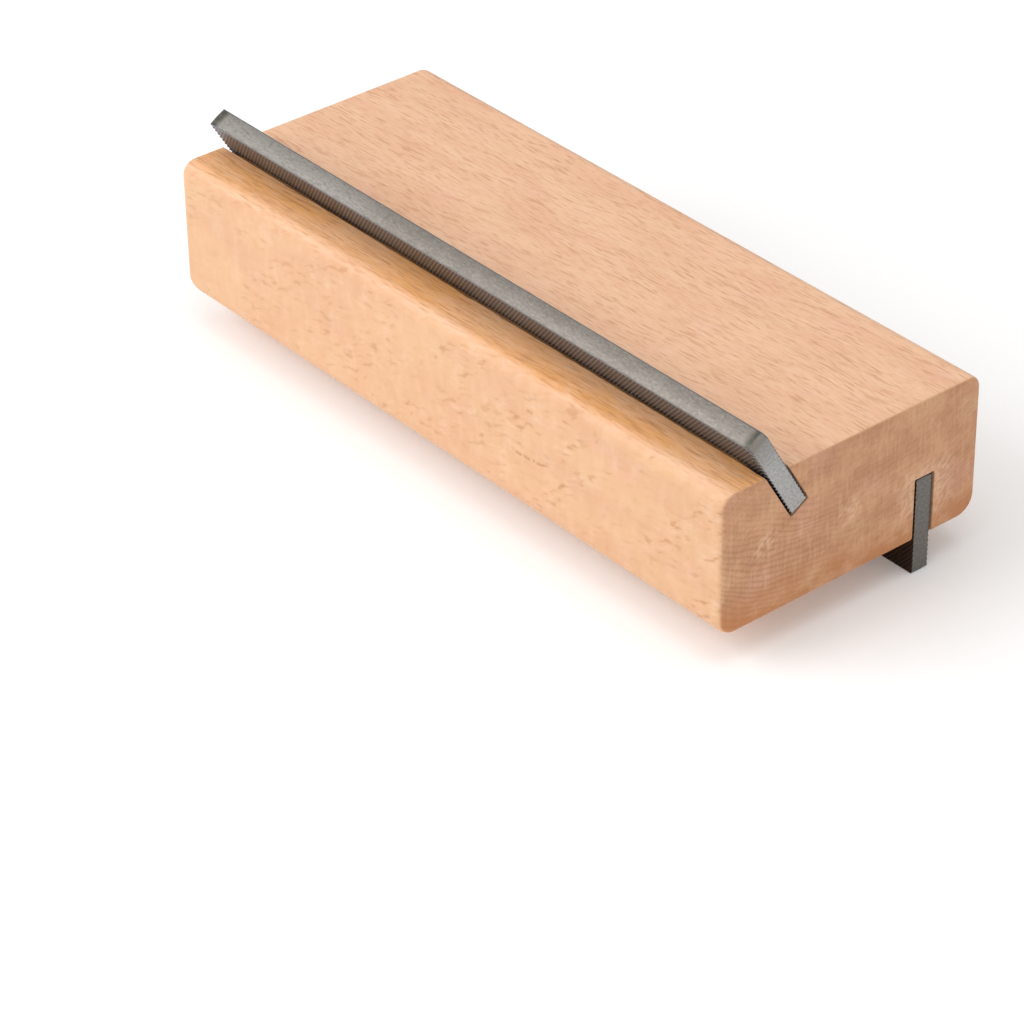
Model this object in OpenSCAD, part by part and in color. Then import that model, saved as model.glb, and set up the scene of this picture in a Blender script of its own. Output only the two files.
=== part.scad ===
// Two-way fret end file: a hardwood guide block that carries two flat files.
// The bevel file leans out of the top face, and the edge file stands square out of the bottom face.
// Frame: X along the block, Y across it, Z up. The origin is the centre of the flat bottom face.
// The near side is the long side at -Y, beside the bevel file. The far side is at +Y.

/* [Block] */
// Length of the block, along the files
block_l = 150; // [120:1:180]
// Width of the block
block_w = 59.4; // [55:0.1:64]
// Height of the block
block_h = 28.2; // [27:0.1:34]
// Radius of the near side's top edge
near_top_r = 3; // [1:0.5:5]
// Radius of the near side's bottom edge
near_bottom_r = 3.5; // [1:0.5:5]
// Radius of the far side's top edge
far_top_r = 3; // [1:0.5:5]
// Radius of the far side's bottom edge
far_bottom_r = 4; // [1:0.5:5]
// Radius of the end faces' top and bottom edges
end_edge_r = 1; // [0.5:0.1:3]
// Radius of the block's four upright corners
upright_r = 1.2; // [0.5:0.1:3]

/* [Files] */
// Length of each file, from the block's +X end face
file_l = 148; // [110:1:150]
// Width of each file, from its buried edge to its outer edge
file_w = 19.2; // [17:0.1:20]
// Thickness of each file over the tips of its teeth
file_t = 3.9; // [3:0.1:4.5]
// Cut at the corners of each file's outer edge
corner_cut = 0.8; // [0.2:0.1:2]
// Length of the cut at the edge file's buried corner, at -X
buried_cut_l = 7; // [3:0.5:10]
// Height of that cut
buried_cut_h = 3.6; // [2:0.1:5]

/* [Teeth] */
// Distance from one tooth to the next, square to the teeth
tooth_pitch = 0.67; // [0.6:0.01:1.2]
// Depth of the teeth
tooth_depth = 0.22; // [0.1:0.01:0.3]
// Width of the flat at the tip of a tooth
tooth_land = 0.08; // [0.04:0.01:0.15]
// Length of a tooth's steep cutting side, measured along the row
tooth_rise = 0.06; // [0.02:0.01:0.1]
// Slant of the teeth, from square across the file
tooth_slant = 42; // [15:0.5:50]

/* [Bevel kerf] */
// Lean of the bevel file away from upright
bevel_angle = 30.5; // [25:0.5:35]
// Distance from the near side to the kerf's mouth
bevel_inset = 9.4; // [8:0.1:12]
// Length of the bevel file above the block, along its lean
bevel_reach = 9; // [7:0.1:10]
// Gap on each wide side of the bevel file
bevel_gap = 0.3; // [0.2:0.05:0.5]
// Gap under the bevel file's buried edge
bevel_under = 0.4; // [0.2:0.05:0.6]

/* [Edge kerf] */
// Distance from the far side to the kerf
edge_inset = 10.4; // [9:0.1:14]
// Length of the edge file below the block
edge_reach = 6.6; // [5:0.1:8]
// Gap on the far side of the edge file
edge_far_gap = 0.6; // [0.3:0.05:0.7]
// Gap on the near side of the edge file
edge_near_gap = 0.15; // [0.1:0.01:0.25]
// Gap over the edge file's buried edge
edge_over = 0.2; // [0.15:0.05:0.6]

/* [Adhesive] */
// Distance from each end of the block to the adhesive
glue_setback = 3; // [2:0.5:8]
// Distance from a kerf's mouth to the adhesive
glue_drop = 2; // [1.8:0.1:4]

/* [Hidden] */
round_fn = 64;
overrun = 5;
beech = [0.93, 0.76, 0.6];
file_steel = [0.42, 0.43, 0.44];
dark_steel = [0.3, 0.3, 0.31];
epoxy = [0.5, 0.38, 0.22];

file_x = (block_l - file_l) / 2;

bevel_kerf_w = file_t + 2 * bevel_gap;
bevel_kerf_d = file_w - bevel_reach + bevel_under;
bevel_kerf_y = -block_w / 2 + bevel_inset + bevel_kerf_w / 2 / cos(bevel_angle);

edge_kerf_w = file_t + edge_near_gap + edge_far_gap;
edge_kerf_d = file_w - edge_reach + edge_over;
edge_kerf_y = block_w / 2 - edge_inset - edge_kerf_w / 2;
// The edge file's place across its kerf. The kerf's own Y runs towards the near side.
edge_file_shift = (edge_far_gap - edge_near_gap) / 2;

tooth_count = ceil((file_l * cos(tooth_slant) + file_w * sin(tooth_slant)) / tooth_pitch) + 2;
tooth_row_l = tooth_count * tooth_pitch;

// Carries a shape from the bevel kerf's frame to its place. In that frame the origin is the middle
// of the kerf's mouth, Z runs out of the block along the file's lean, and Y through its thickness.
module at_bevel_kerf() {
    translate([0, bevel_kerf_y, block_h])
        rotate([bevel_angle, 0, 0])
            children();
}

// The same for the edge kerf, whose Z runs straight down out of the block.
module at_edge_kerf() {
    translate([0, edge_kerf_y, 0])
        rotate([180, 0, 0])
            children();
}

// Rectangle from the origin to [w, h] with its own radius at each corner, anticlockwise from the origin.
module rounded_rectangle(w, h, r1, r2, r3, r4) {
    polygon([[r1, 0], [w - r2, 0], [w, r2], [w, h - r3], [w - r3, h], [r4, h], [0, h - r4], [0, r1]]);
    translate([r1, r1]) circle(r = r1, $fn = round_fn);
    translate([w - r2, r2]) circle(r = r2, $fn = round_fn);
    translate([w - r3, h - r3]) circle(r = r3, $fn = round_fn);
    translate([r4, h - r4]) circle(r = r4, $fn = round_fn);
}

// The block's cross-section, run along its length.
module block_section() {
    translate([-block_l / 2, -block_w / 2, 0])
        rotate([90, 0, 90])
            linear_extrude(height = block_l)
                rounded_rectangle(block_w, block_h, near_bottom_r, far_bottom_r, far_top_r, near_top_r);
}

// The block's outline from the side, run across its width.
module block_elevation() {
    translate([-block_l / 2, block_w / 2, 0])
        rotate([90, 0, 0])
            linear_extrude(height = block_w)
                rounded_rectangle(block_l, block_h, end_edge_r, end_edge_r, end_edge_r, end_edge_r);
}

// The block's outline from above, run up its height.
module block_plan() {
    translate([-block_l / 2, -block_w / 2, 0])
        linear_extrude(height = block_h)
            rounded_rectangle(block_l, block_w, upright_r, upright_r, upright_r, upright_r);
}

// The saw cut for a file in its kerf frame: a slot of width w that goes d into the block.
module kerf(w, d) {
    translate([-block_l / 2 - overrun, -w / 2, -d])
        cube([block_l + 2 * overrun, w, d + overrun]);
}

module guide_block() {
    color(beech)
        difference() {
            intersection() {
                block_section();
                block_elevation();
                block_plan();
            }
            at_bevel_kerf() kerf(bevel_kerf_w, bevel_kerf_d);
            at_edge_kerf() kerf(edge_kerf_w, edge_kerf_d);
        }
}

// A plain file blank, centred, with its length along X, its thickness along Y and its outer edge at +Z.
// The corner at -X and -Z, buried in the block, can have a cut of its own.
module file_blank(cut_l = 0.3, cut_h = 0.3) {
    x = file_l / 2;
    z = file_w / 2;
    rotate([90, 0, 0])
        linear_extrude(height = file_t, center = true)
            polygon([
                [-x + cut_l, -z], [x, -z], [x, z - corner_cut], [x - corner_cut, z],
                [-x + corner_cut, z], [-x, z - corner_cut], [-x, -z + cut_h]
            ]);
}

// A row of teeth along the top of a deep bar: each has a steep side, a narrow flat tip and a long back.
module tooth_row() {
    tip = file_t / 2;
    root = tip - tooth_depth;
    teeth = [
        for (i = [0 : tooth_count - 1])
            for (p = [[0, root], [tooth_rise, tip], [tooth_rise + tooth_land, tip]])
                [i * tooth_pitch + p[0], p[1]]
    ];
    translate([-tooth_row_l / 2, 0])
        polygon(concat(teeth, [[tooth_row_l, root], [tooth_row_l, -file_t], [0, -file_t]]));
}

// A slab that is deeper than the file, with slanted teeth over its +Y face.
module toothed_slab() {
    rotate([0, -tooth_slant, 0])
        linear_extrude(height = file_l + file_w, center = true)
            tooth_row();
}

// A file blank with teeth cut in both wide faces. Each face's teeth slant the same way seen from outside.
module toothed_file(cut_l, cut_h) {
    intersection() {
        file_blank(cut_l, cut_h);
        toothed_slab();
        rotate([180, 0, 0]) toothed_slab();
    }
}

module bevel_file() {
    color(file_steel)
        at_bevel_kerf()
            translate([file_x, 0, bevel_reach - file_w / 2])
                toothed_file(0.3, 0.3);
}

module edge_file() {
    color(dark_steel)
        at_edge_kerf()
            translate([file_x, edge_file_shift, edge_reach - file_w / 2])
                toothed_file(buried_cut_l, buried_cut_h);
}

// The hardened adhesive in a kerf: the kerf's lower part, short of the block's ends, less the file in it.
module adhesive(w, d, file_shift, reach) {
    bed_l = block_l - 2 * glue_setback;
    difference() {
        translate([-bed_l / 2, -w / 2, -d])
            cube([bed_l, w, d - glue_drop]);
        translate([file_x, file_shift, reach - file_w / 2])
            file_blank();
    }
}

module bevel_file_adhesive() {
    color(epoxy)
        at_bevel_kerf()
            adhesive(bevel_kerf_w, bevel_kerf_d, 0, bevel_reach);
}

module edge_file_adhesive() {
    color(epoxy)
        at_edge_kerf()
            adhesive(edge_kerf_w, edge_kerf_d, edge_file_shift, edge_reach);
}

guide_block();
bevel_file();
edge_file();
bevel_file_adhesive();
edge_file_adhesive();
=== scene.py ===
"""Looks of a two-way fret end file: a beech block with a leaning bevel file and an upright edge file.

Lengths are metres in the part's frame: X along the block, Y across it, Z up, origin at the centre of the
block's flat bottom face. The near side is at -Y. Inside the materials, places are millimetres.
"""

import math
import random

import bmesh
import bpy
from mathutils import Matrix, Vector


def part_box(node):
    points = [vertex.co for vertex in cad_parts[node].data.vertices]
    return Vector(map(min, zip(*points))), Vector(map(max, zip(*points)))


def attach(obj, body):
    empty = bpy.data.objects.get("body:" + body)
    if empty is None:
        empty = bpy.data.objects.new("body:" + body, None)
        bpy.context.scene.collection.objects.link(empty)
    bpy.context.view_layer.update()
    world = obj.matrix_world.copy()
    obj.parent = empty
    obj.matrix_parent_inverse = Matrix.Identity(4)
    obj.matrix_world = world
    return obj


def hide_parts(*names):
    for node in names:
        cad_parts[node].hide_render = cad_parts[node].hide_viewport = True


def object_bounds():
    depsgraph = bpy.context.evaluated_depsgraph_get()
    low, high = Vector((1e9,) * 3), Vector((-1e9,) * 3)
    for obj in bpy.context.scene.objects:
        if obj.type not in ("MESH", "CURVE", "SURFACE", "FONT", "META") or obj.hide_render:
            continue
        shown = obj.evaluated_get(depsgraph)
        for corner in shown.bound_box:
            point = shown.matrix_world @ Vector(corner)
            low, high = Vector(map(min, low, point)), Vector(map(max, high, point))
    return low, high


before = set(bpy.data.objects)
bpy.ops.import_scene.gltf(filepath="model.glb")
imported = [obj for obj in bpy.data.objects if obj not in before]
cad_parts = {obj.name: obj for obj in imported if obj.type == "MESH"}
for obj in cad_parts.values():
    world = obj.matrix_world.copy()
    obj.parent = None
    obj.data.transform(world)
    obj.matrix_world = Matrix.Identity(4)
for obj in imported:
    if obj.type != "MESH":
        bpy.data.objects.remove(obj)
cad_low, cad_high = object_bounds()

MM = 0.001

# The block's box comes from the frame. Its long-edge roundings and its kerfs repeat the design's values.
BLOCK_LOW, BLOCK_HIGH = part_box("guide_block")
NEAR_TOP_R = 3.0 * MM
NEAR_BOTTOM_R = 3.5 * MM
FAR_TOP_R = 3.0 * MM
FAR_BOTTOM_R = 4.0 * MM
# The block's ends are rounded unevenly. These pairs are for the -X end and the +X end.
END_TOP_R = (1.4 * MM, 0.7 * MM)
END_BOTTOM_R = (2.6 * MM, 1.3 * MM)
UPRIGHT_R = (1.4 * MM, 1.2 * MM)
FILE_LENGTH = 148.0 * MM
FILE_WIDTH = 19.2 * MM
FILE_THICKNESS = 3.9 * MM
BEVEL_LEAN = math.radians(30.5)
BEVEL_KERF_WIDTH = 4.5 * MM
BEVEL_KERF_DEPTH = 10.6 * MM
BEVEL_KERF_INSET = 9.4 * MM
BEVEL_REACH = 9.0 * MM
EDGE_KERF_WIDTH = 4.65 * MM
EDGE_KERF_DEPTH = 12.8 * MM
EDGE_KERF_INSET = 10.4 * MM

# The middles of the kerfs' mouths, across the block.
BEVEL_KERF_Y = BLOCK_LOW.y + BEVEL_KERF_INSET + BEVEL_KERF_WIDTH / 2 / math.cos(BEVEL_LEAN)
EDGE_KERF_Y = BLOCK_HIGH.y - EDGE_KERF_INSET - EDGE_KERF_WIDTH / 2

# The camera's direction, roll and distance, its shift within its own plane, and its lens in millimetres.
CAMERA_AZIMUTH = math.radians(50.7)
CAMERA_ELEVATION = math.radians(33.85)
CAMERA_ROLL = math.radians(-0.83)
CAMERA_DISTANCE = 0.7186
CAMERA_ACROSS = -9.33 * MM
CAMERA_UP = -21.0 * MM
CAMERA_LENS = 139.1


# ---------------------------------------------------------------- camera, floor and lights


def make_camera():
    """A long lens that looks down at the block's near side and its +X end."""
    sin_a, cos_a = math.sin(CAMERA_AZIMUTH), math.cos(CAMERA_AZIMUTH)
    sin_e, cos_e = math.sin(CAMERA_ELEVATION), math.cos(CAMERA_ELEVATION)
    back = Vector((sin_a * cos_e, -cos_a * cos_e, sin_e))
    right = Vector((cos_a, sin_a, 0))
    up = back.cross(right)
    roll = Matrix.Rotation(CAMERA_ROLL, 3, back)
    right, up = roll @ right, roll @ up
    data = bpy.data.cameras.new("camera")
    data.lens = CAMERA_LENS
    data.clip_start = 0.05
    data.clip_end = 50
    camera = bpy.data.objects.new("camera", data)
    place = back * CAMERA_DISTANCE + right * CAMERA_ACROSS + up * CAMERA_UP
    turn = Matrix((right, up, back)).transposed().to_4x4()
    camera.matrix_world = Matrix.Translation(place) @ turn
    bpy.context.scene.collection.objects.link(camera)
    bpy.context.scene.camera = camera


def make_floor():
    """A plain pale floor at the object's lowest point, lit a little from within as a light table is. It is
    clear from below, so the underside can be seen."""
    reach = 6
    mesh = bpy.data.meshes.new("floor")
    corners = [(x * reach, y * reach, cad_low.z) for x, y in ((-1, -1), (1, -1), (1, 1), (-1, 1))]
    mesh.from_pydata(corners, [], [(0, 1, 2, 3)])
    floor = bpy.data.objects.new("floor", mesh)
    bpy.context.scene.collection.objects.link(floor)
    graph = Graph("floor")
    graph.set("Base Color", (0.90, 0.90, 0.90, 1))
    graph.set("Emission Color", (1, 1, 1, 1))
    graph.set("Emission Strength", 0.12)
    graph.set("Roughness", 0.9)
    graph.set("Specular IOR Level", 0.1)
    clear = graph.tree.nodes.new("ShaderNodeBsdfTransparent")
    mix = graph.tree.nodes.new("ShaderNodeMixShader")
    side = graph.tree.nodes.new("ShaderNodeNewGeometry")
    links = graph.tree.links
    links.new(side.outputs["Backfacing"], mix.inputs[0])
    links.new(graph.shader.outputs[0], mix.inputs[1])
    links.new(clear.outputs[0], mix.inputs[2])
    links.new(mix.outputs[0], graph.tree.nodes["Material Output"].inputs[0])
    mesh.materials.append(graph.material)


def add_area_light(name, azimuth, elevation, distance, size, power):
    """A square soft light that faces the object from an azimuth and elevation in degrees."""
    a, e = math.radians(azimuth), math.radians(elevation)
    back = Vector((math.sin(a) * math.cos(e), -math.cos(a) * math.cos(e), math.sin(e)))
    data = bpy.data.lights.new(name, "AREA")
    data.size = size
    data.energy = power
    light = bpy.data.objects.new(name, data)
    light.location = back * distance
    light.rotation_mode = "QUATERNION"
    light.rotation_quaternion = back.to_track_quat("Z", "Y")
    bpy.context.scene.collection.objects.link(light)


def make_lights():
    """An even pale surround, with one soft light over the near side and one from almost straight above."""
    world = bpy.data.worlds.new("studio")
    world.use_nodes = True
    world.node_tree.nodes["Background"].inputs["Color"].default_value = (1, 1, 1, 1)
    world.node_tree.nodes["Background"].inputs["Strength"].default_value = 0.53
    bpy.context.scene.world = world
    bpy.context.scene.view_settings.view_transform = "Standard"
    add_area_light("key", azimuth=-25, elevation=38, distance=1.1, size=0.7, power=7.0)
    add_area_light("top", azimuth=60, elevation=80, distance=1.1, size=0.8, power=3.6)


# ---------------------------------------------------------------- material graphs


class Graph:
    """A material's node tree, with one short call for each kind of node that the materials use."""

    def __init__(self, name):
        self.material = bpy.data.materials.new(name)
        self.material.use_nodes = True
        self.tree = self.material.node_tree
        self.shader = self.tree.nodes["Principled BSDF"]

    def set(self, socket, value):
        """Gives a shader input a constant or links it to another node's output."""
        self.put(self.shader.inputs[socket], value)

    def put(self, socket, value):
        """Links a node's output to a socket, or gives the socket a constant."""
        if isinstance(value, bpy.types.NodeSocket):
            self.tree.links.new(value, socket)
        else:
            socket.default_value = value

    def node(self, kind, **settings):
        """Adds a shader node and changes some of its settings."""
        made = self.tree.nodes.new("ShaderNode" + kind)
        for key, value in settings.items():
            setattr(made, key, value)
        return made

    def math(self, operation, a, b=0.0, c=0.0):
        """Works out a sum or a function of up to three numbers."""
        made = self.node("Math", operation=operation)
        for socket, value in zip(made.inputs, (a, b, c)):
            self.put(socket, value)
        return made.outputs[0]

    def step(self, value, low, high, to_low=0.0, to_high=1.0):
        """Goes smoothly from to_low to to_high as value goes from low to high."""
        made = self.node("MapRange", interpolation_type="SMOOTHSTEP")
        for socket, number in zip(made.inputs, (value, low, high, to_low, to_high)):
            self.put(socket, number)
        return made.outputs[0]

    def mix(self, factor, a, b):
        """Mixes two colours."""
        made = self.node("Mix", data_type="RGBA")
        for socket, value in zip((made.inputs[0], made.inputs[6], made.inputs[7]), (factor, a, b)):
            self.put(socket, value)
        return made.outputs[2]

    def vector(self, x, y, z):
        """Joins three numbers into a vector."""
        made = self.node("CombineXYZ")
        for socket, value in zip(made.inputs, (x, y, z)):
            self.put(socket, value)
        return made.outputs[0]

    def noise(self, place, detail=2.0, roughness=0.5):
        """Smooth noise about 0.5, with one blob about every unit of place."""
        made = self.node("TexNoise")
        self.put(made.inputs["Vector"], place)
        for socket, value in (("Scale", 1.0), ("Detail", detail), ("Roughness", roughness)):
            made.inputs[socket].default_value = value
        return made.outputs["Fac"]

    def cells(self, place):
        """Distance to the nearest of a scatter of points one unit apart, and that point's random number."""
        made = self.node("TexVoronoi")
        self.put(made.inputs["Vector"], place)
        made.inputs["Scale"].default_value = 1.0
        parts = self.node("SeparateColor")
        self.tree.links.new(made.outputs["Color"], parts.inputs[0])
        return made.outputs["Distance"], parts.outputs[0]

    def scaled(self, a, a_size, b, b_size, c, c_size):
        """A place for noise, whose blobs are the given sizes along three coordinates."""
        pairs = ((a, a_size), (b, b_size), (c, c_size))
        return self.vector(*(self.math("DIVIDE", number, size) for number, size in pairs))

    def blend(self, factor, a, b):
        """Mixes two numbers."""
        made = self.node("Mix")
        for socket, value in zip((made.inputs[0], made.inputs[2], made.inputs[3]), (factor, a, b)):
            self.put(socket, value)
        return made.outputs[0]

    def place(self):
        """X, Y and Z in the part's frame, in millimetres."""
        parts = self.node("SeparateXYZ")
        self.tree.links.new(self.node("TexCoord").outputs["Object"], parts.inputs[0])
        return [self.math("MULTIPLY", parts.outputs[i], 1000.0) for i in range(3)]

    def normal(self):
        """How far the surface faces along X, Y and Z, without sign."""
        parts = self.node("SeparateXYZ")
        self.tree.links.new(self.node("NewGeometry").outputs["Normal"], parts.inputs[0])
        return [self.math("ABSOLUTE", parts.outputs[i]) for i in range(3)]

    def bump(self, height, distance):
        """Bump whose height of one unit is a distance in metres."""
        made = self.node("Bump")
        made.inputs["Strength"].default_value = 1.0
        made.inputs["Distance"].default_value = distance
        self.put(made.inputs["Height"], height)
        return made.outputs[0]


# ---------------------------------------------------------------- beech

# Linear colours. Each face has a plain and a warmer tone, and the others are mixed in as marks.
BEECH_TOP = (0.84, 0.515, 0.325, 1)
BEECH_TOP_WARM = (0.80, 0.46, 0.285, 1)
BEECH_SIDE = (0.735, 0.435, 0.238, 1)
BEECH_SIDE_WARM = (0.70, 0.395, 0.225, 1)
BEECH_PALE = (0.86, 0.60, 0.43, 1)
BEECH_DASH = (0.50, 0.225, 0.10, 1)
BEECH_FLECK = (0.46, 0.20, 0.075, 1)
# Painted shade: the next colour stands for the shade under the leaning bevel file and along the foot of the
# long sides.
BEECH_PAINTED_WARM_SHADE = (0.82, 0.39, 0.13, 1)
BEECH_PINK = (0.82, 0.43, 0.33, 1)
BEECH_YELLOW = (0.74, 0.51, 0.27, 1)
END_LIGHT = (0.71, 0.37, 0.20, 1)
END_BROWN = (0.53, 0.25, 0.125, 1)
END_RING = (0.42, 0.175, 0.08, 1)
END_SCUFF = (0.86, 0.56, 0.36, 1)
END_WARM = (0.55, 0.215, 0.07, 1)

# Places inside the materials are in millimetres. The orange strip on the top face lies beside the bevel
# file and is painted shade from that leaning file. Each pair is where it fades out and where it is full,
# across the block.
STRIP_NEAR = (-27.6, -24.4)
STRIP_FAR = (-17.5, -19.0)
# The streak on the long sides: its middle along the block, and the height that it wavers above.
STREAK_X = 26.8
STREAK_Z = 10.9
# The centre of the growth rings, across the block and up, and the distance between two rings.
RING_CENTRE = (2.0, 78.0)
RING_WIDTH = 1.05
# The centres of the two scuffed patches on the ends, across the block and up.
SCUFF_PATCHES = ((-20.0, 14.8), (-0.5, 13.4))


def tinted(graph, colour, a, b, c, amount):
    """Gives a colour faint pink and yellow patches about 9 mm across."""
    patches = graph.noise(graph.scaled(a, 9.0, b, 9.0, c, 9.0), 2.0)
    colour = graph.mix(graph.step(patches, 0.55, 0.75, 0.0, amount), colour, BEECH_PINK)
    return graph.mix(graph.step(patches, 0.45, 0.25, 0.0, amount), colour, BEECH_YELLOW)


def painted_shadow_strip(graph, y, z, bands):
    """The strip of the top face beside the leaning bevel file, painted as the shade it casts, with a wavy
    near border: 1 inside and 0 outside.
    """
    border = graph.math("MULTIPLY_ADD", bands, 3.2, y)
    strip = graph.math("MULTIPLY", graph.step(y, *STRIP_FAR), graph.step(border, *STRIP_NEAR))
    return graph.math("MULTIPLY", strip, graph.step(z, 14.0, 20.0))


def flat_beech(graph, x, y, grain_y, z, tone):
    """Top and bottom faces: short dark dashes along the grain with pale ones beside them, which are painted
    highlights, in loose bands.
    The strip beside the bevel file is painted orange and darker, as painted shade from the leaning file.
    Gives the colour and height."""
    dash = graph.noise(graph.scaled(x, 3.7, grain_y, 0.42, z, 5.0), 1.5, 0.4)
    fine = graph.noise(graph.scaled(x, 2.8, grain_y, 0.27, z, 4.0), 1.0, 0.5)
    bands = graph.noise(graph.scaled(x, 17.0, grain_y, 5.0, z, 30.0), 2.0)
    strength = graph.step(bands, 0.3, 0.62, 0.5, 1.0)
    dark = graph.math("MULTIPLY", graph.step(dash, 0.54, 0.72), strength)
    # Painted highlight: the pale dashes stand for light catching the edges of the dark dash grooves.
    pale = graph.math("MULTIPLY", graph.step(dash, 0.44, 0.28), strength)
    thin = graph.step(fine, 0.52, 0.72)
    colour = tinted(graph, graph.mix(tone, BEECH_TOP, BEECH_TOP_WARM), x, grain_y, z, 0.22)

    # Painted shade: the strip beside the leaning bevel file is turned orange and darker to stand for the
    # file's shadow.
    strip = painted_shadow_strip(graph, y, z, bands)
    painted_shadow = graph.math("MULTIPLY", strip, graph.step(tone, 0.0, 1.0, 0.5, 0.9))
    colour = graph.mix(painted_shadow, colour, BEECH_PAINTED_WARM_SHADE)
    streaks = graph.noise(graph.scaled(x, 6.5, grain_y, 0.55, z, 3.0), 2.0, 0.5)
    streaked = graph.math("MULTIPLY", strip, graph.step(streaks, 0.5, 0.68, 0.0, 0.42))
    colour = graph.mix(streaked, colour, BEECH_FLECK)

    # Painted highlight beside the dark dashes.
    colour = graph.mix(graph.math("MULTIPLY", pale, 0.4), colour, BEECH_PALE)
    colour = graph.mix(graph.math("MULTIPLY", thin, 0.34), colour, BEECH_DASH)
    colour = graph.mix(graph.math("MULTIPLY", dark, 0.44), colour, BEECH_DASH)
    height = graph.math("MULTIPLY_ADD", thin, -0.35, graph.math("MULTIPLY", dark, -1.0))
    return colour, height


def side_streak(graph, x, z):
    """One long brown streak, wavy and broken, low on the long sides."""
    ripple = graph.noise(graph.scaled(x, 3.6, z, 50.0, z, 50.0), 2.0)
    centre = graph.math("MULTIPLY_ADD", ripple, 2.4, STREAK_Z)
    away = graph.math("ABSOLUTE", graph.math("SUBTRACT", z, centre))
    within = graph.step(graph.math("ABSOLUTE", graph.math("SUBTRACT", x, STREAK_X)), 6.2, 4.6)
    gaps = graph.step(graph.noise(graph.scaled(x, 1.2, z, 1.5, z, 50.0), 1.0), 0.36, 0.5)
    return graph.math("MULTIPLY", graph.step(away, 0.46, 0.1), graph.math("MULTIPLY", within, gaps))


def side_beech(graph, x, z, tone):
    """Long sides: almost plain, with small brown ray flecks in loose slanting trains, one streak, and painted
    warm shade along the foot, where the rounded bottom edge turns away from the light. Gives the colour and
    height."""
    warp = graph.noise(graph.scaled(x, 5.0, z, 5.0, x, 50.0), 1.0)
    along = graph.math("MULTIPLY_ADD", z, 0.4, x)
    across = graph.math("MULTIPLY_ADD", x, -0.3, graph.math("MULTIPLY_ADD", warp, 2.2, z))
    spots = graph.noise(graph.scaled(along, 3.1, across, 1.05, z, 60.0), 1.5, 0.4)
    slanted = graph.math("MULTIPLY_ADD", z, -1.1, x)
    trains = graph.noise(graph.scaled(slanted, 7.5, z, 15.0, x, 90.0), 1.5)
    more = graph.math("MULTIPLY", graph.step(x, -60, 60, 0.55, 1.0), graph.step(trains, 0.4, 0.66, 0.2, 1.0))
    flecks = graph.math("MULTIPLY", graph.step(spots, 0.55, 0.73), more)
    halo = graph.math("MULTIPLY", graph.step(spots, 0.46, 0.3), more)
    flecks = graph.math("MAXIMUM", flecks, side_streak(graph, x, z))
    mottle = graph.noise(graph.scaled(x, 2.6, z, 5.5, x, 80.0), 2.0)
    colour = tinted(graph, graph.mix(tone, BEECH_SIDE, BEECH_SIDE_WARM), x, z, z, 0.2)
    colour = graph.mix(graph.step(mottle, 0.55, 0.25, 0.0, 0.2), colour, BEECH_PALE)
    colour = graph.mix(graph.step(mottle, 0.5, 0.8, 0.0, 0.1), colour, BEECH_DASH)
    colour = graph.mix(graph.math("MULTIPLY", halo, 0.3), colour, BEECH_PALE)
    colour = graph.mix(graph.math("MULTIPLY", flecks, 0.6), colour, BEECH_FLECK)
    # Painted shade: warmer and more orange low on the long sides, where the rounded bottom edge turns from
    # the light.
    colour = graph.mix(graph.step(z, 3.0, 0.8, 0.0, 0.5), colour, BEECH_PAINTED_WARM_SHADE)
    return colour, graph.math("MULTIPLY", flecks, -0.3)


def distance_on_end(graph, y, z, centre):
    """Distance on an end face from a centre across the block and up."""
    dy = graph.math("SUBTRACT", y, centre[0])
    dz = graph.math("SUBTRACT", z, centre[1])
    squares = graph.math("MULTIPLY_ADD", dy, dy, graph.math("MULTIPLY", dz, dz))
    return graph.math("SQRT", squares)


def growth_rings(graph, x, y, z, blotch):
    """Growth rings that sag across the block, clearest low down and by the near side."""
    shake = graph.noise(graph.scaled(y, 14.0, z, 9.0, x, 40.0), 2.0, 0.35)
    radius = graph.math("MULTIPLY_ADD", shake, 4.0, distance_on_end(graph, y, z, RING_CENTRE))
    phase = graph.math("MULTIPLY", radius, math.tau / RING_WIDTH)
    wave = graph.math("MULTIPLY_ADD", graph.math("SINE", phase), 0.5, 0.5)
    near = graph.step(y, 4.0, -16.0, 0.35, 1.0)
    low = graph.step(z, 26.0, 14.0, 0.4, 1.0)
    clear = graph.math("MULTIPLY", near, graph.math("MULTIPLY", low, graph.step(blotch, 0.3, 0.6, 0.45, 1.0)))
    return graph.math("MULTIPLY", graph.step(wave, 0.4, 0.95), clear)


def saw_scuffs(graph, x, y, z):
    """Short slanting scuffs from the saw, faint all over and strong around the edge kerf and in patches."""
    from_kerf = graph.math("ABSOLUTE", graph.math("SUBTRACT", y, EDGE_KERF_Y / MM))
    strength = graph.math("MULTIPLY", graph.step(from_kerf, 9.5, 3.0), graph.step(z, 18.0, 12.5))
    for centre in SCUFF_PATCHES:
        patch = graph.step(distance_on_end(graph, y, z, centre), 4.5, 0.5)
        strength = graph.math("MAXIMUM", strength, patch)
    strength = graph.math("MAXIMUM", strength, 0.16)
    rising = graph.math("ADD", y, z)
    falling = graph.math("SUBTRACT", z, y)
    strokes = graph.noise(graph.scaled(rising, 1.9, falling, 0.9, x, 20.0), 2.0, 0.6)
    return graph.math("MULTIPLY", strength, graph.step(strokes, 0.36, 0.66, 0.1, 1.0))


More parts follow.
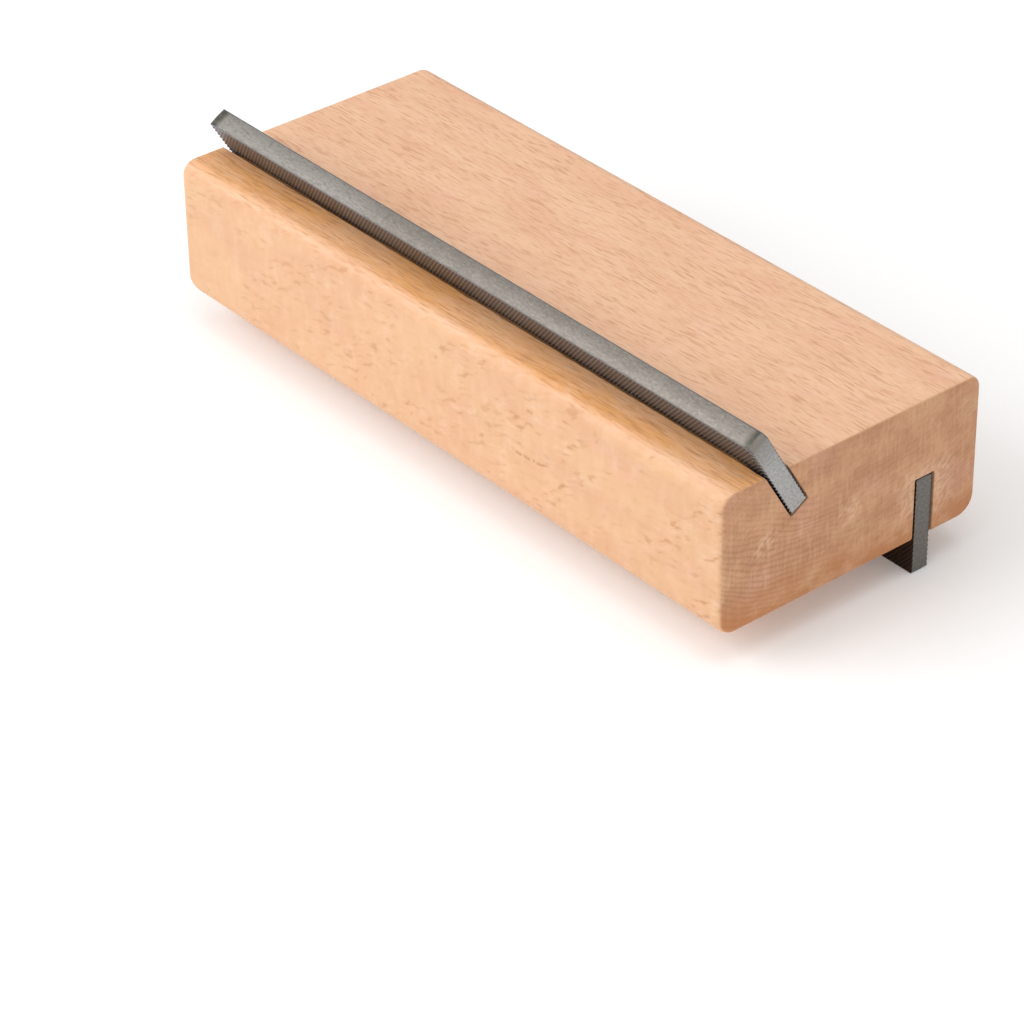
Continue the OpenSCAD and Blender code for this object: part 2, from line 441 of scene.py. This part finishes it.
def end_beech(graph, x, y, z):
    """Ends: blotches and growth rings with fine pores, short upright rays, scuffs and a warm foot. Gives the
    colour and height."""
    blotch = graph.noise(graph.scaled(y, 7.0, z, 4.5, x, 30.0), 3.0, 0.55)
    pores = graph.noise(graph.scaled(y, 0.5, z, 0.4, x, 6.0), 2.0, 0.6)
    rays = graph.noise(graph.scaled(y, 0.55, z, 4.5, x, 30.0), 2.0, 0.5)
    rings = growth_rings(graph, x, y, z, blotch)
    scuffs = saw_scuffs(graph, x, y, z)
    foot = graph.math("MULTIPLY", graph.step(z, 9.5, 1.5), graph.step(blotch, 0.36, 0.58, 0.35, 1.0))
    colour = graph.mix(graph.step(blotch, 0.3, 0.7, 0.1, 0.85), END_LIGHT, END_BROWN)
    colour = tinted(graph, colour, y, z, x, 0.3)
    colour = graph.mix(graph.math("MULTIPLY", rings, 0.42), colour, END_RING)
    colour = graph.mix(graph.step(pores, 0.5, 0.75, 0.0, 0.34), colour, END_RING)
    colour = graph.mix(graph.step(rays, 0.48, 0.3, 0.0, 0.16), colour, END_SCUFF)
    colour = graph.mix(graph.step(rays, 0.52, 0.72, 0.0, 0.16), colour, END_RING)
    colour = graph.mix(graph.math("MULTIPLY", scuffs, 0.72), colour, END_SCUFF)
    colour = graph.mix(graph.math("MULTIPLY", foot, 0.75), colour, END_WARM)
    height = graph.math("MULTIPLY_ADD", pores, -0.9, graph.math("MULTIPLY", rings, -0.35))
    return colour, height


def beech():
    """Steamed beech, whose pattern depends on which way the surface was cut from the tree."""
    graph = Graph("beech")
    x, y, z = graph.place()
    nx, _, nz = graph.normal()
    wander = graph.noise(graph.scaled(x, 38.0, y, 15.0, z, 15.0), 1.0)
    drift = graph.math("MULTIPLY_ADD", x, -0.03, graph.math("MULTIPLY", wander, 3.5))
    grain_y = graph.math("ADD", y, drift)
    tone = graph.step(graph.noise(graph.scaled(x, 24.0, grain_y, 6.0, z, 7.0), 3.0), 0.34, 0.68)
    flat, flat_height = flat_beech(graph, x, y, grain_y, z, tone)
    side, side_height = side_beech(graph, x, z, tone)
    end, end_height = end_beech(graph, x, y, z)

    # The grain of the flat faces runs further round the long edges towards the -X end.
    on_flat = graph.step(graph.math("MULTIPLY_ADD", x, -0.0015, nz), 0.58, 0.82)
    on_end = graph.step(nx, 0.45, 0.85)
    graph.set("Base Color", graph.mix(on_end, graph.mix(on_flat, side, flat), end))
    height = graph.blend(on_end, graph.blend(on_flat, side_height, flat_height), end_height)
    graph.set("Normal", graph.bump(height, 0.05 * MM))
    satin = graph.math("MULTIPLY_ADD", height, -0.16, 0.42)
    graph.set("Roughness", graph.math("MULTIPLY_ADD", on_end, 0.16, satin))
    graph.set("Specular IOR Level", 0.4)
    return graph.material


# ---------------------------------------------------------------- steel and adhesive

# Each file's colours are those of its teeth, its narrow edges and its ends.
BEVEL_FILE_COLOURS = ((0.18, 0.19, 0.212, 1), (0.36, 0.325, 0.29, 1), (0.41, 0.405, 0.395, 1))
EDGE_FILE_COLOURS = ((0.035, 0.02, 0.012, 1), (0.2, 0.19, 0.18, 1), (0.185, 0.175, 0.16, 1))
FILE_END_DARK = (0.105, 0.105, 0.085, 1)
EPOXY_DARK = (0.13, 0.055, 0.018, 1)
EPOXY_LIGHT = (0.26, 0.13, 0.045, 1)


def shade(colour, amount):
    """A colour made lighter or darker."""
    return tuple(c * amount for c in colour[:3]) + (1,)


def cooler(colour, amount):
    """A colour made lighter or darker, with a little less red and more blue."""
    red, green, blue, _ = shade(colour, amount)
    return (red * 0.97, green * 1.03, blue * 1.07, 1)


def file_axes(graph, kerf_y, kerf_z, lean):
    """A file's own directions. Gives X, the distance out of the block along the lean and the distance
    through the file from its middle plane, then how squarely the surface faces along X and along the lean."""
    x, y, z = graph.place()
    cos_l, sin_l = math.cos(lean), math.sin(lean)
    from_y = graph.math("SUBTRACT", y, kerf_y / MM)
    from_z = graph.math("SUBTRACT", z, kerf_z / MM)
    out = graph.math("SUBTRACT", graph.math("MULTIPLY", from_z, cos_l), graph.math("MULTIPLY", from_y, sin_l))
    through = graph.math("ADD", graph.math("MULTIPLY", from_y, cos_l), graph.math("MULTIPLY", from_z, sin_l))
    normal = graph.node("SeparateXYZ")
    graph.tree.links.new(graph.node("NewGeometry").outputs["True Normal"], normal.inputs[0])
    facing_x = graph.math("ABSOLUTE", normal.outputs[0])
    out_z = graph.math("MULTIPLY", normal.outputs[2], cos_l)
    out_y = graph.math("MULTIPLY", normal.outputs[1], sin_l)
    facing_out = graph.math("ABSOLUTE", graph.math("SUBTRACT", out_z, out_y))
    return x, out, through, facing_x, facing_out


def ground_edge(graph, x, through, facing_x, cloud, speckle, scratches, colour):
    """A file's narrow edges, ground along their length: scratched and speckled, paler and cooler towards the
    -X end, darker near both ends, with painted shade towards the +Y rim and a painted highlight on the cut
    corners."""
    narrow = graph.mix(graph.step(cloud, 0.3, 0.7), shade(colour, 0.87), shade(colour, 1.05))
    narrow = graph.mix(graph.step(x, -15.0, -40.0, 0.0, 0.65), narrow, cooler(colour, 1.35))
    narrow = graph.mix(graph.step(scratches, 0.4, 0.7, 0.0, 0.5), narrow, shade(colour, 0.55))
    narrow = graph.mix(graph.step(speckle, 0.52, 0.7, 0.0, 0.5), narrow, shade(colour, 0.55))
    narrow = graph.mix(graph.step(speckle, 0.45, 0.3, 0.0, 0.5), narrow, shade(colour, 1.35))
    # Painted shade: darker towards the rim on the +Y side of each narrow edge, where its slight crown turns
    # away from the light.
    narrow = graph.mix(graph.step(through, 0.5, 2.0, 0.0, 0.2), narrow, shade(colour, 0.6))
    high_end = BLOCK_HIGH.x / MM
    low_end = high_end - FILE_LENGTH / MM
    to_end = graph.math("MINIMUM", graph.math("SUBTRACT", high_end, x), graph.math("SUBTRACT", x, low_end))
    # Darker near both ends of the file.
    end_dark = graph.math("MULTIPLY", graph.step(to_end, 3.0, 1.3), graph.step(cloud, 0.3, 0.6, 0.55, 0.95))
    narrow = graph.mix(end_dark, narrow, FILE_END_DARK)
    # Painted highlight: the cut corners, which face partly along X, are made lighter.
    return graph.mix(graph.step(facing_x, 0.35, 0.8), narrow, shade(colour, 1.05))


def file_steel(name, kerf_y, kerf_z, lean, colours, crest, end_dulling):
    """File steel: dark teeth with lighter crests on the wide faces, ground narrow edges, and ground ends that
    can be duller the further they stand out of the block."""
    tooth_colour, edge_colour, end_colour = colours
    graph = Graph(name)
    x, out, through, facing_x, facing_out = file_axes(graph, kerf_y, kerf_z, lean)
    cloud = graph.noise(graph.scaled(x, 3.5, out, 1.6, through, 1.6), 4.0, 0.65)
    speckle = graph.noise(graph.scaled(x, 0.75, out, 0.5, through, 0.5), 2.5, 0.6)
    grit = graph.noise(graph.scaled(x, 0.25, out, 0.25, through, 0.25), 3.0, 0.7)
    scratches = graph.noise(graph.scaled(x, 1.6, out, 0.14, through, 0.14), 2.0, 0.6)

    half_t = FILE_THICKNESS / MM / 2
    depth = graph.math("ABSOLUTE", through)
    on_crest = graph.step(depth, half_t - 0.1, half_t - 0.01)
    teeth = graph.mix(on_crest, tooth_colour, shade(tooth_colour, crest))
    narrow = ground_edge(graph, x, through, facing_x, cloud, speckle, scratches, edge_colour)
    end = graph.mix(graph.step(speckle, 0.3, 0.7), shade(end_colour, 1.17), shade(end_colour, 0.82))
    end = graph.mix(graph.step(out, 0.0, 9.5, 0.0, end_dulling), end, shade(edge_colour, 0.62))

    by_face = graph.step(depth, half_t - 0.3, half_t - 0.24)
    on_teeth = graph.math("MULTIPLY", by_face, graph.step(facing_out, 0.9, 0.75))
    on_end = graph.step(facing_x, 0.93, 0.98)
    graph.set("Base Color", graph.mix(on_end, graph.mix(on_teeth, narrow, teeth), end))
    graph.set("Metallic", 1.0)
    graph.set("Roughness", graph.step(grit, 0.25, 0.8, 0.38, 0.58))
    height = graph.math("ADD", graph.math("MULTIPLY", scratches, 0.5), graph.math("MULTIPLY", grit, 0.5))
    graph.set("Normal", graph.bump(height, 0.02 * MM))
    return graph.material


def adhesive():
    """Hardened brown adhesive with small bubbles."""
    graph = Graph("epoxy")
    x, y, z = graph.place()
    bubble, chance = graph.cells(graph.vector(x, y, z))
    cloud = graph.noise(graph.scaled(x, 3.0, y, 1.0, z, 1.0), 3.0)
    graph.set("Base Color", graph.mix(cloud, EPOXY_DARK, EPOXY_LIGHT))
    graph.set("Roughness", graph.step(cloud, 0.2, 0.8, 0.3, 0.5))
    pit = graph.math("MULTIPLY", graph.step(bubble, 0.3, 0.1), graph.step(chance, 0.4, 0.3))
    graph.set("Normal", graph.bump(graph.math("SUBTRACT", cloud, pit), 0.08 * MM))
    return graph.material


# ---------------------------------------------------------------- meshes


def close_shape(shape, caps):
    """Splits the flat ends of a shape into triangles and turns all its faces outwards."""
    shape.normal_update()
    bmesh.ops.triangulate(shape, faces=caps)
    bmesh.ops.recalc_face_normals(shape, faces=shape.faces)


def loft(sections):
    """Joins a row of closed outlines into one shape with flat ends."""
    shape = bmesh.new()
    rings = [[shape.verts.new(point) for point in section] for section in sections]
    count = len(rings[0])
    for a, b in zip(rings, rings[1:]):
        for i in range(count):
            j = (i + 1) % count
            shape.faces.new((a[i], a[j], b[j], b[i]))
    close_shape(shape, [shape.faces.new(list(reversed(rings[0]))), shape.faces.new(rings[-1])])
    return shape


def make_piece(name, node, shape, sharp_angle, material):
    """Makes the piece that stands for a node of the design. It is shaded smooth, apart from edges that turn
    by more than an angle in degrees."""
    mesh = bpy.data.meshes.new(name)
    shape.to_mesh(mesh)
    shape.free()
    for polygon in mesh.polygons:
        polygon.use_smooth = True
    mesh.set_sharp_from_angle(angle=math.radians(sharp_angle))
    mesh.materials.append(material)
    piece = bpy.data.objects.new(name, mesh)
    bpy.context.scene.collection.objects.link(piece)
    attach(piece, "root")
    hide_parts(node)
    return piece


# ---------------------------------------------------------------- the block

# Steps in the arcs of the long edges, and of the kerfs' edges and roots.
CORNER_STEPS = 10
ARRIS_STEPS = 4
ARRIS_R = 0.18 * MM
ROOT_R = 0.2 * MM
# The long edges keep at least this radius where the ends are rounded off.
LEAST_CORNER_R = 0.4 * MM
# Radii of the kerfs' edges on the end faces, at the -X end and the +X end.
KERF_EASE = (0.3 * MM, 0.15 * MM)
STATION_GAP = 0.8 * MM
KERF_CHIPS = 26
CHIP_WIDTHS = (0.5 * MM, 1.6 * MM)
CHIP_DEPTHS = (0.1 * MM, 0.42 * MM)


def rounded_corner(before, corner, after, radius, steps):
    """Points of an arc of a radius in the corner between two straight runs."""
    a = (before - corner).normalized()
    b = (after - corner).normalized()
    half = a.angle(b) / 2
    centre = corner + (a + b).normalized() * (radius / math.sin(half))
    start = corner + a * (radius / math.tan(half)) - centre
    end = corner + b * (radius / math.tan(half)) - centre
    return [centre + start.slerp(end, i / steps).normalized() * radius for i in range(steps + 1)]


def round_over(distance, radius):
    """How far a rounded edge of a radius has fallen back at a distance from the end face."""
    if distance >= radius:
        return 0.0
    return radius - math.sqrt(radius ** 2 - (radius - distance) ** 2)


def block_runs():
    """The block's outline across its width, anticlockwise seen from +X: each corner's place, radius and
    number of steps, with the rounding at the block's ends of the straight run that starts there."""
    low, high = BLOCK_LOW, BLOCK_HIGH
    edge_far = high.y - EDGE_KERF_INSET
    edge_near = edge_far - EDGE_KERF_WIDTH
    lean_in = Vector((math.sin(BEVEL_LEAN), -math.cos(BEVEL_LEAN)))
    across = Vector((math.cos(BEVEL_LEAN), math.sin(BEVEL_LEAN)))
    root = Vector((BEVEL_KERF_Y, high.z)) + lean_in * BEVEL_KERF_DEPTH
    mouth_half = BEVEL_KERF_WIDTH / 2 / math.cos(BEVEL_LEAN)
    half = across * (BEVEL_KERF_WIDTH / 2)
    return [
        (Vector((low.y, low.z)), NEAR_BOTTOM_R, CORNER_STEPS, END_BOTTOM_R),
        (Vector((edge_near, low.z)), ARRIS_R, ARRIS_STEPS, KERF_EASE),
        (Vector((edge_near, low.z + EDGE_KERF_DEPTH)), ROOT_R, ARRIS_STEPS, KERF_EASE),
        (Vector((edge_far, low.z + EDGE_KERF_DEPTH)), ROOT_R, ARRIS_STEPS, KERF_EASE),
        (Vector((edge_far, low.z)), ARRIS_R, ARRIS_STEPS, END_BOTTOM_R),
        (Vector((high.y, low.z)), FAR_BOTTOM_R, CORNER_STEPS, UPRIGHT_R),
        (Vector((high.y, high.z)), FAR_TOP_R, CORNER_STEPS, END_TOP_R),
        (Vector((BEVEL_KERF_Y + mouth_half, high.z)), ARRIS_R, ARRIS_STEPS, KERF_EASE),
        (root + half, ROOT_R, ARRIS_STEPS, KERF_EASE),
        (root - half, ROOT_R, ARRIS_STEPS, KERF_EASE),
        (Vector((BEVEL_KERF_Y - mouth_half, high.z)), ARRIS_R, ARRIS_STEPS, END_TOP_R),
        (Vector((low.y, high.z)), NEAR_TOP_R, CORNER_STEPS, UPRIGHT_R),
    ]


def waviness(rng, count, slowest, fastest):
    """A function of X that wanders between -1 and 1, from waves at random rates in radians per metre."""
    waves = [(rng.uniform(slowest, fastest), rng.uniform(0, math.tau)) for _ in range(count)]
    return lambda x: sum(math.sin(rate * x + phase) for rate, phase in waves) / count


def chip_profile(rng):
    """The wear of one kerf edge along the block: a small radius with scattered deeper chips."""
    chips = [
        (rng.uniform(BLOCK_LOW.x, BLOCK_HIGH.x), rng.uniform(*CHIP_WIDTHS), rng.uniform(*CHIP_DEPTHS))
        for _ in range(KERF_CHIPS)
    ]
    wave = waviness(rng, 4, 60, 400)

    def radius(x):
        chip = max(depth * math.exp(-(((x - middle) / width) ** 2)) for middle, width, depth in chips)
        return ARRIS_R * (1 + 0.35 * wave(x)) + chip

    return radius


def block_section(runs, x, wear):
    """The outline's points at a station, all moved inwards near the ends, where the edges are rounded."""
    end = 0 if x < 0 else 1
    from_end = BLOCK_HIGH.x - abs(x)
    lines = []
    for i, (corner, _, _, end_r) in enumerate(runs):
        towards = runs[(i + 1) % len(runs)][0] - corner
        inwards = Vector((-towards.y, towards.x)).normalized()
        lines.append((corner + inwards * round_over(from_end, end_r[end]), towards.normalized()))
    # Each corner lies where the straight runs before and after it meet.
    corners = []
    for i, (point, towards) in enumerate(lines):
        before, before_towards = lines[i - 1]
        cross = before_towards.x * towards.y - before_towards.y * towards.x
        gap = point - before
        corners.append(before + before_towards * ((gap.x * towards.y - gap.y * towards.x) / cross))
    points = []
    for i, (_, radius, steps, _) in enumerate(runs):
        if i in wear:
            radius = wear[i](x)
        elif steps == CORNER_STEPS:
            radius = max(radius - round_over(from_end, UPRIGHT_R[end]), LEAST_CORNER_R)
        points += rounded_corner(corners[i - 1], corners[i], corners[(i + 1) % len(corners)], radius, steps)
    return [(x, point.x, point.y) for point in points]


def block_stations():
    """Places along the block where its outline is drawn, closer together where the ends are rounded."""
    low_end, high_end = END_BOTTOM_R
    eases = [1 - math.cos(math.radians(a)) for a in range(0, 90, 9)]
    low_part = [BLOCK_LOW.x + ease * low_end for ease in eases]
    high_part = [BLOCK_HIGH.x - ease * high_end for ease in reversed(eases)]
    start = BLOCK_LOW.x + low_end
    straight = BLOCK_HIGH.x - high_end - start
    gaps = round(straight / STATION_GAP)
    return low_part + [start + i * straight / gaps for i in range(gaps + 1)] + high_part


def make_block():
    """The beech block, lofted along its length, with rounded ends and worn kerf edges."""
    rng = random.Random(7)
    runs = block_runs()
    wear = {i: chip_profile(rng) for i, (_, radius, _, _) in enumerate(runs) if radius == ARRIS_R}
    shape = loft([block_section(runs, x, wear) for x in block_stations()])
    block = make_piece("beech_block", "guide_block", shape, 32, beech())
    weighted = block.modifiers.new("weighted_normals", "WEIGHTED_NORMAL")
    weighted.keep_sharp = True


# ---------------------------------------------------------------- the files

FILE_ARRIS_R = 0.2 * MM
FILE_END_R = 0.15 * MM
FILE_CROWN = 0.1 * MM
# How much is cut off the corners that stand out of the block, at the -X end and the +X end.
BEVEL_CORNER_CUTS = (0.4 * MM, 1.1 * MM)
EDGE_CORNER_CUTS = (0.25 * MM, 0.25 * MM)
CORNER_ROUNDNESS = 1.35
# Length and height of what is cut off a buried corner: very little, apart from the edge file's at -X.
SMALL_BURIED_CUT = (0.12 * MM, 0.12 * MM)
EDGE_BURIED_CUT = (7.0 * MM, 3.6 * MM)
# The distance between two teeth, and the same along X, where their slant makes it longer.
TOOTH_GAP = 0.67 * MM
TOOTH_SLANT = math.radians(42)
TOOTH_PITCH = TOOTH_GAP / math.cos(TOOTH_SLANT)
BEVEL_TOOTH_DEPTH = 0.22 * MM
EDGE_TOOTH_DEPTH = 0.15 * MM
# How far the crests stand out past the rims of the wide faces, and over what width the teeth run out.
TIP_RISE = 0.03 * MM
TOOTH_RUNOUT = 0.25 * MM
# The share of a tooth's height that wear can take.
TOOTH_WEAR = 0.14
# One tooth: places along its pitch, and heights from root to tip. The steep side faces -X.
TOOTH_PROFILE = ((0.0, 0.0), (0.09, 1.0), (0.21, 1.0), (0.42, 0.62), (0.66, 0.28), (0.88, 0.05))
# Distances from a file's ends where its mesh gets extra edges, to be rounded.
END_LOOPS = tuple(d * MM for d in (0.05, 0.15, 0.3, 0.5, 0.75, 1.1))


def file_rows():
    """The file's outline across its length, as rows of thickness, height, tooth weight and travel along X.
    The travel carries the teeth's slant up one wide face and down the other."""
    half_t = FILE_THICKNESS / 2
    half_w = FILE_WIDTH / 2
    flat = half_t - TIP_RISE
    face_top = half_w - FILE_ARRIS_R
    # The teeth climb a whole number of pitches in one turn, so that the sheet closes on itself.
    turns = round(face_top * 4 * math.tan(TOOTH_SLANT) / TOOTH_PITCH)
    travel = turns * TOOTH_PITCH / 2
    levels = (-face_top, -face_top + TOOTH_RUNOUT, 0, face_top - TOOTH_RUNOUT, face_top)
    rows = [(-flat, t, float(abs(t) < face_top), travel * (t + face_top) / (2 * face_top)) for t in levels]
    for i in range(1, 4):
        a = math.radians(22.5 * i)
        inwards, upwards = FILE_ARRIS_R * (1 - math.cos(a)), FILE_ARRIS_R * math.sin(a)
        rows.append((inwards - flat, face_top + upwards, 0.0, travel))
    inner = flat - FILE_ARRIS_R
    rows += [(v * inner, half_w - FILE_CROWN * v * v, 0.0, travel) for v in (-1, -0.5, 0)]
    # The narrow edge is the same on both sides of its middle, which is the last row so far.
    first = rows + [(-v, t, w, travel) for v, t, w, _ in reversed(rows[len(levels):-1])]
    # The rest of the outline is this half turned half way round the file's length.
    second = [(-v, -t, w, along + travel) for v, t, w, along in first]
    return first + second, turns


def file_mesh(rng, depth):
    """A file's sheet of teeth, wound round its length like a screw to slant on both wide faces."""
    rows, turns = file_rows()
    travel = turns * TOOTH_PITCH
    half = FILE_LENGTH / 2
    # One tooth is spare at the -X end and two are at the +X end, before the ends are cut square.
    teeth = math.ceil((FILE_LENGTH + travel) / TOOTH_PITCH) + 3
    columns = []
    for i in range(teeth):
        worn = 1 - rng.uniform(0, TOOTH_WEAR)
        start = -half - travel + (i - 1) * TOOTH_PITCH
        columns += [(start + p * TOOTH_PITCH, h * worn) for p, h in TOOTH_PROFILE]
    shape = bmesh.new()
    grid = []
    for v, t, weight, along in rows:
        side = math.copysign(1, v)
        grid.append([
            shape.verts.new((x + along, v + side * weight * (TIP_RISE - depth * (1 - h)), t))
            for x, h in columns
        ])
    shift = turns * len(TOOTH_PROFILE)
    for j, row in enumerate(grid):
        wraps = j == len(grid) - 1
        above = grid[0][shift:] if wraps else grid[j + 1]
        for i in range(min(len(row), len(above)) - 1):
            shape.faces.new((row[i], row[i + 1], above[i + 1], above[i]))
    for side in (-1, 1):
        cut_file_end(shape, side * half, side, True)
        for inset in END_LOOPS:
            cut_file_end(shape, side * (half - inset), side, False)
    return shape


def cut_file_end(shape, x, side, remove):
    """Cuts edges into a file's mesh at a place along it, and can remove what lies beyond."""
    geom = shape.verts[:] + shape.edges[:] + shape.faces[:]
    place, facing = (x, 0, 0), (side, 0, 0)
    bmesh.ops.bisect_plane(shape, geom=geom, dist=1e-7, plane_co=place, plane_no=facing, clear_outer=remove)


def corner_drop(from_end, length, height, roundness):
    """How far a cut corner of a length and height has fallen at a distance from the end."""
    if from_end >= length:
        return 0.0
    rest = from_end / length
    return height * (1 - (1 - (1 - rest) ** roundness) ** (1 / roundness))


def shape_file_ends(shape, corner_cuts, buried_cut):
    """Rounds the ends of a file, and cuts its corners by drawing the outline in towards the ends."""
    half = FILE_LENGTH / 2
    for vert in shape.verts:
        from_end = max(half - abs(vert.co.x), 0.0)
        rounding = round_over(from_end, FILE_END_R)
        if vert.co.x < 0:
            corner_cut, (low_length, low_height) = corner_cuts[0], buried_cut
        else:
            corner_cut, (low_length, low_height) = corner_cuts[1], SMALL_BURIED_CUT
        top = FILE_WIDTH / 2 - rounding - corner_drop(from_end, corner_cut, corner_cut, CORNER_ROUNDNESS)
        bottom = -FILE_WIDTH / 2 + rounding + corner_drop(from_end, low_length, low_height, 1.0)
        share = (vert.co.z + FILE_WIDTH / 2) / FILE_WIDTH
        vert.co.z = bottom + share * (top - bottom)
        vert.co.y *= 1 - 2 * rounding / FILE_THICKNESS


def file_shape(tooth_depth, corner_cuts, buried_cut, turn, place, seed):
    """One whole file, turned about X and moved to its kerf."""
    shape = file_mesh(random.Random(seed), tooth_depth)
    buried_length = buried_cut[0]
    if buried_length > END_LOOPS[-1]:
        for part in (0.25, 0.5, 0.75, 1.0):
            cut_file_end(shape, -FILE_LENGTH / 2 + buried_length * part, -1, False)
    shape_file_ends(shape, corner_cuts, buried_cut)
    rims = [edge for edge in shape.edges if edge.is_boundary]
    bmesh.ops.holes_fill(shape, edges=rims, sides=0)
    close_shape(shape, [face for face in shape.faces if len(face.verts) > 4])
    shape.transform(Matrix.Translation(place) @ Matrix.Rotation(turn, 4, "X"))
    return shape


def make_files():
    """The bevel file, which leans out of the top, and the edge file, upside down in the bottom."""
    low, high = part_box("edge_file")
    middle_x = (low.x + high.x) / 2
    edge_y = (low.y + high.y) / 2
    lift = BEVEL_REACH - FILE_WIDTH / 2
    bevel_y = BEVEL_KERF_Y - math.sin(BEVEL_LEAN) * lift
    bevel_z = BLOCK_HIGH.z + math.cos(BEVEL_LEAN) * lift
    bevel_place = Vector((middle_x, bevel_y, bevel_z))
    edge_place = Vector((middle_x, edge_y, low.z + FILE_WIDTH / 2))

    bevel_steel = file_steel("bevel_file_steel", BEVEL_KERF_Y, BLOCK_HIGH.z, BEVEL_LEAN,
                             BEVEL_FILE_COLOURS, crest=1.95, end_dulling=0.6)
    edge_steel = file_steel("edge_file_steel", edge_y, 0, 0, EDGE_FILE_COLOURS, crest=1.6, end_dulling=0.0)
    bevel = file_shape(BEVEL_TOOTH_DEPTH, BEVEL_CORNER_CUTS, SMALL_BURIED_CUT, BEVEL_LEAN, bevel_place, 11)
    make_piece("leaning_bevel_file", "bevel_file", bevel, 28, bevel_steel)
    edge = file_shape(EDGE_TOOTH_DEPTH, EDGE_CORNER_CUTS, EDGE_BURIED_CUT, math.pi, edge_place, 12)
    make_piece("upright_edge_file", "edge_file", edge, 28, edge_steel)


# ---------------------------------------------------------------- the adhesive

# The adhesive stops this far short of the block's ends.
GLUE_SETBACK = 3.0 * MM
GLUE_STATIONS = 120
# How far its surface lies below the kerf's mouth, and how hollow it is between the kerf and the file.
GLUE_HIGHEST = 0.15 * MM
GLUE_LOWEST = 0.6 * MM
GLUE_DIP = 0.12 * MM
# How far it slumps at its two ends, and over what length.
GLUE_SLUMP = 1.2 * MM
GLUE_SLUMP_LENGTH = 4.0 * MM


def glue_section(kerf_half, low_side, high_side, kerf_depth, file_depth, low_top, high_top):
    """A channel round the buried part of a file: thickness and height for each point, with hollow tops."""
    return [
        (-kerf_half, low_top),
        (-kerf_half, -kerf_depth),
        (kerf_half, -kerf_depth),
        (kerf_half, high_top),
        ((kerf_half + high_side) / 2, high_top - GLUE_DIP),
        (high_side, high_top + GLUE_DIP / 2),
        (high_side, -file_depth),
        (low_side, -file_depth),
        (low_side, low_top + GLUE_DIP / 2),
        ((low_side - kerf_half) / 2, low_top - GLUE_DIP),
    ]


def glue_shape(kerf_half, kerf_depth, file_middle, file_depth, turn, place, seed):
    """The adhesive bed between a kerf and its file, drawn along the kerf with a sagging surface."""
    rng = random.Random(seed)
    low_wave = waviness(rng, 5, 40, 260)
    high_wave = waviness(rng, 5, 40, 260)
    sag = (GLUE_LOWEST - GLUE_HIGHEST) / 2
    # The bed reaches a little into the files' teeth.
    file_half = FILE_THICKNESS / 2 - EDGE_TOOTH_DEPTH / 2
    half = BLOCK_HIGH.x - GLUE_SETBACK
    # The mouth of a leaning kerf is lower on one side of the file than on the other.
    mouth = kerf_half * math.tan(turn)
    sections = []
    for i in range(GLUE_STATIONS + 1):
        x = half * (2 * i / GLUE_STATIONS - 1)
        slump = GLUE_SLUMP * max(0.0, 1 - (half - abs(x)) / GLUE_SLUMP_LENGTH) ** 2
        low_top = mouth - GLUE_HIGHEST - sag * (1 + low_wave(x)) - slump
        high_top = -mouth - GLUE_HIGHEST - sag * (1 + high_wave(x)) - slump
        outline = glue_section(kerf_half, file_middle - file_half, file_middle + file_half,
                               kerf_depth, file_depth, low_top, high_top)
        sections.append([(x, v, t) for v, t in outline])
    shape = loft(sections)
    shape.transform(Matrix.Translation(place) @ Matrix.Rotation(turn, 4, "X"))
    return shape


def make_adhesives():
    """The bed round the buried part of each file. The edge file lies off the middle of its kerf."""
    epoxy = adhesive()
    low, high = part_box("edge_file")
    off_middle = EDGE_KERF_Y - (low.y + high.y) / 2
    bevel_mouth = Vector((0, BEVEL_KERF_Y, BLOCK_HIGH.z))
    edge_mouth = Vector((0, EDGE_KERF_Y, 0))
    bevel = glue_shape(BEVEL_KERF_WIDTH / 2, BEVEL_KERF_DEPTH, 0.0, FILE_WIDTH - BEVEL_REACH,
                       BEVEL_LEAN, bevel_mouth, 21)
    edge = glue_shape(EDGE_KERF_WIDTH / 2, EDGE_KERF_DEPTH, off_middle, high.z, math.pi, edge_mouth, 22)
    make_piece("bevel_bond", "bevel_file_adhesive", bevel, 40, epoxy)
    make_piece("edge_bond", "edge_file_adhesive", edge, 40, epoxy)


make_camera()
make_floor()
make_lights()
make_block()
make_files()
make_adhesives()
